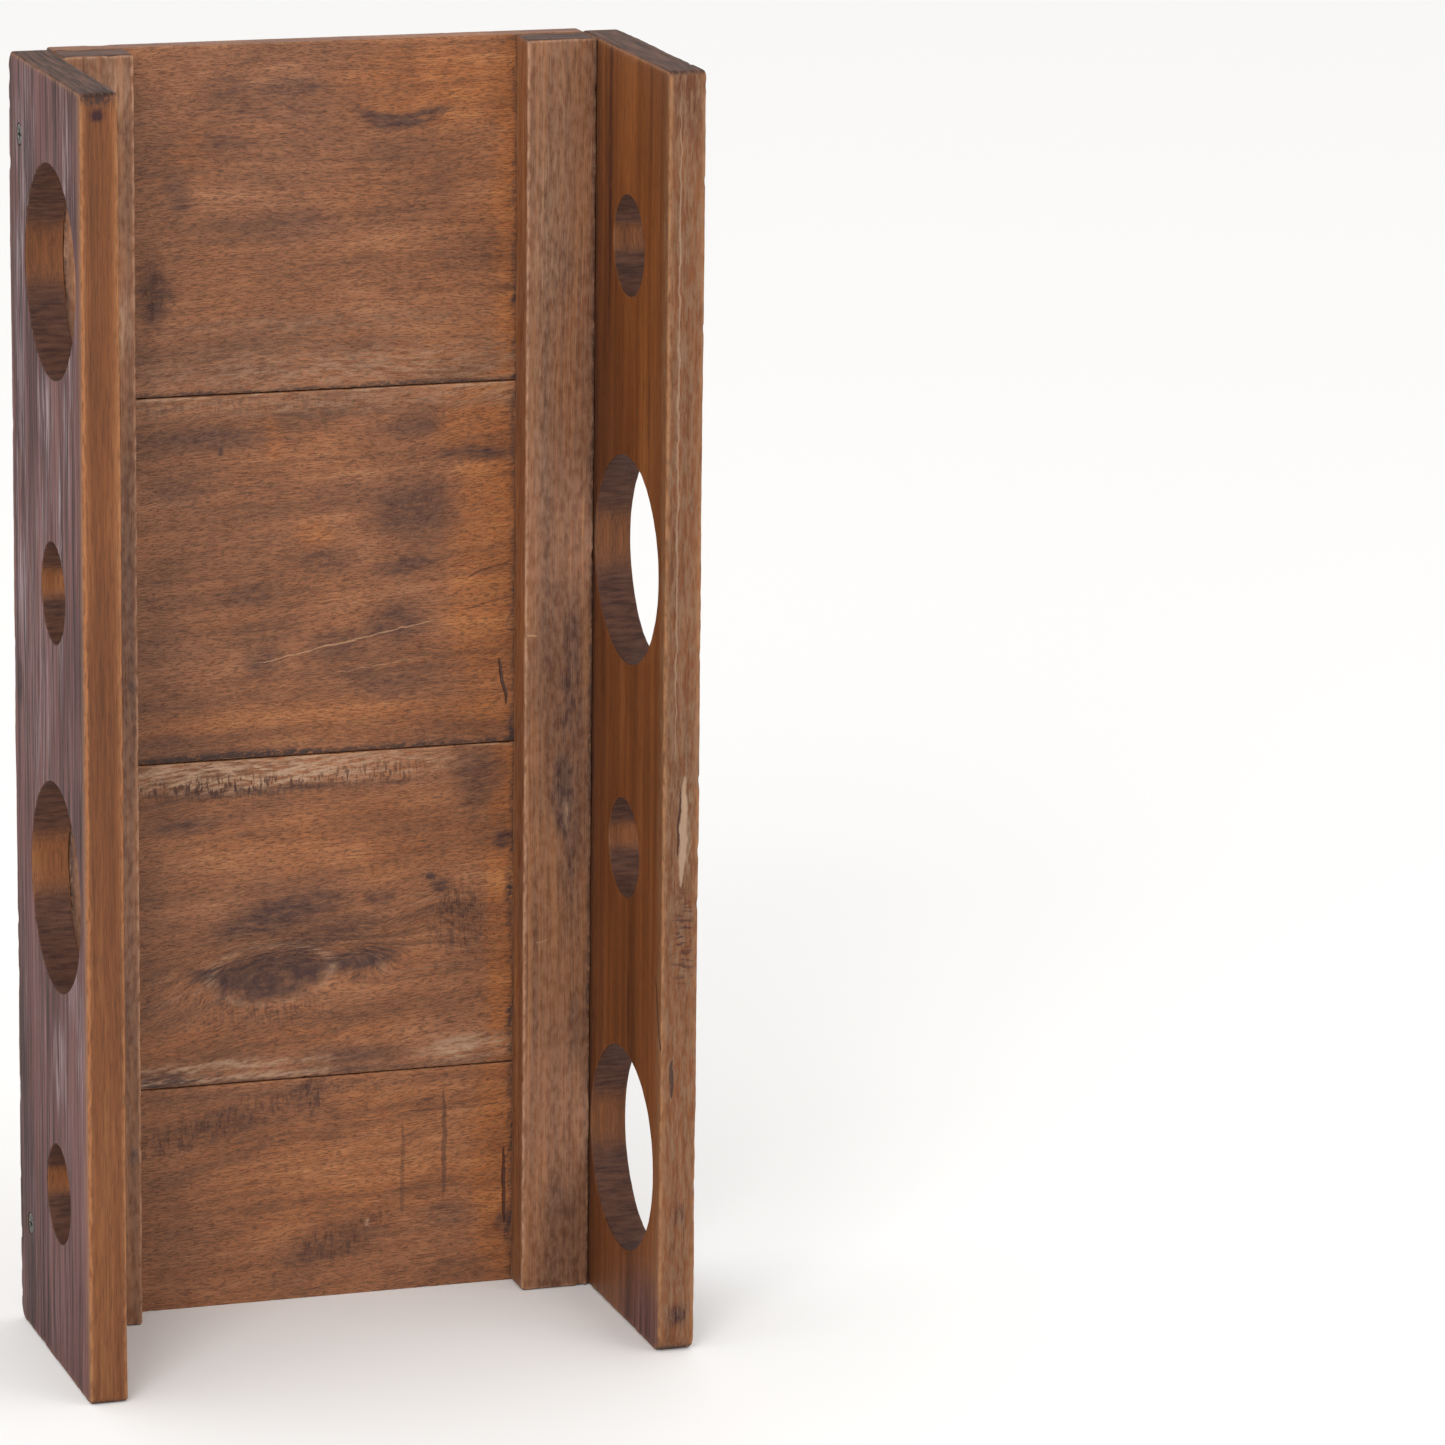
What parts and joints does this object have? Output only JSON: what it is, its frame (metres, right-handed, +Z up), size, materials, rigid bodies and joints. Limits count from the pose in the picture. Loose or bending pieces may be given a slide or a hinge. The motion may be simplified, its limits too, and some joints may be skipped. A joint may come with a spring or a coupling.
{
  "type": "bottle rack",
  "caption": "Upright open-fronted bottle rack of reclaimed boards; bottles lie level, body in a large hole and neck in a small one opposite.",
  "frame": {"origin": "middle of the foot, at the height of the surface it stands on", "axes": "+X to the right seen from the open front, +Y towards the back boards, +Z up"},
  "size_m": [0.24, 0.116, 0.5],
  "materials": {
    "side_board_wood": "worn satin oil",
    "back_board_wood": "worn satin oil",
    "batten_wood": "worn satin oil",
    "screw_steel": "dull zinc plate"
  },
  "bodies": {
    "root": {"left_side_board": "side_board_wood", "right_side_board": "side_board_wood", "left_batten": "batten_wood", "right_batten": "batten_wood", "back_board_1": "back_board_wood", "back_board_2": "back_board_wood", "back_board_3": "back_board_wood", "back_board_4": "back_board_wood", "left_side_screws": "screw_steel", "right_side_screws": "screw_steel", "left_back_screws": "screw_steel", "right_back_screws": "screw_steel"}
  },
  "joints": []
}
